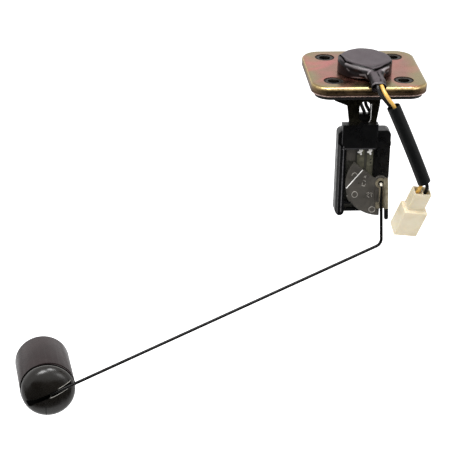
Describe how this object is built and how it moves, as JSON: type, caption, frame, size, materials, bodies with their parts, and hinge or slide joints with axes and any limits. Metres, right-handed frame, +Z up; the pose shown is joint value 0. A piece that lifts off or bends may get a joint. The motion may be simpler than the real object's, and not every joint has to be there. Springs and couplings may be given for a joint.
{
  "type": "fuel level sender",
  "caption": "Fuel tank level sender: a flange with a rubber boot and a lead, a contact housing, and a float on a bent wire arm that turns a wiper.",
  "frame": {"origin": "centre of the four bolt holes, on the gasket's underside, where it meets the tank", "axes": "+Z up out of the tank along the bolts, +X to the right with the float arm towards -X, -Y towards the lead"},
  "size_m": [0.2629, 0.0851, 0.234],
  "materials": {
    "plated_cover": "yellow zinc plating with a rainbow tint",
    "plated_back": "dull yellow zinc plating",
    "gasket_rubber": "matt",
    "bare_steel": "dull",
    "insulator_board": "pressed phenolic",
    "brass": "plain",
    "boot_rubber": "satin soft rubber",
    "yellow_insulation": "soft gloss",
    "black_insulation": "soft gloss",
    "sleeve_vinyl": "satin vinyl",
    "natural_nylon": "translucent natural nylon",
    "bracket_steel": "dark phosphate",
    "black_plastic": "satin moulded",
    "board": "printed board",
    "strip_metal": "dull tinned strip",
    "rotor_plastic": "moulded, worn",
    "arm_wire": "dark drawn steel",
    "float_plastic": "satin dark brown"
  },
  "bodies": {
    "sender": {"flange_cover": "plated_cover", "backing_plate": "plated_back", "gasket": "gasket_rubber", "bolt_collars": "bare_steel", "upper_insulator": "insulator_board", "lower_insulator": "insulator_board", "terminal_screws": "brass", "terminal_nuts": "brass", "outer_eyelets": "bare_steel", "inner_eyelets": "bare_steel", "boot": "boot_rubber", "lead_yellow": "yellow_insulation", "lead_black": "black_insulation", "lead_sleeve": "sleeve_vinyl", "connector_housing": "natural_nylon", "connector_blades": "brass", "bracket": "bracket_steel", "bracket_rivets": "bare_steel", "inner_lead_left": "black_insulation", "inner_lead_right": "black_insulation", "sender_housing": "black_plastic", "rear_cover": "black_plastic", "resistor_board": "board", "contact_strip_left": "strip_metal", "contact_strip_right": "strip_metal", "terminal_block": "rotor_plastic"},
    "arm": {"rotor": "rotor_plastic", "wiper_spring": "brass", "float_arm": "arm_wire", "arm_clip": "brass", "clip_end": "black_plastic", "axle_clip": "bare_steel", "float": "float_plastic", "float_nut": "bare_steel"}
  },
  "joints": [
    {"name": "arm_pivot", "type": "hinge", "parent": "sender", "child": "arm", "pos_m": [0.0125, -0.0135, -0.0632], "axis": [0, 1, 0], "range_deg": [0, 40]}
  ]
}
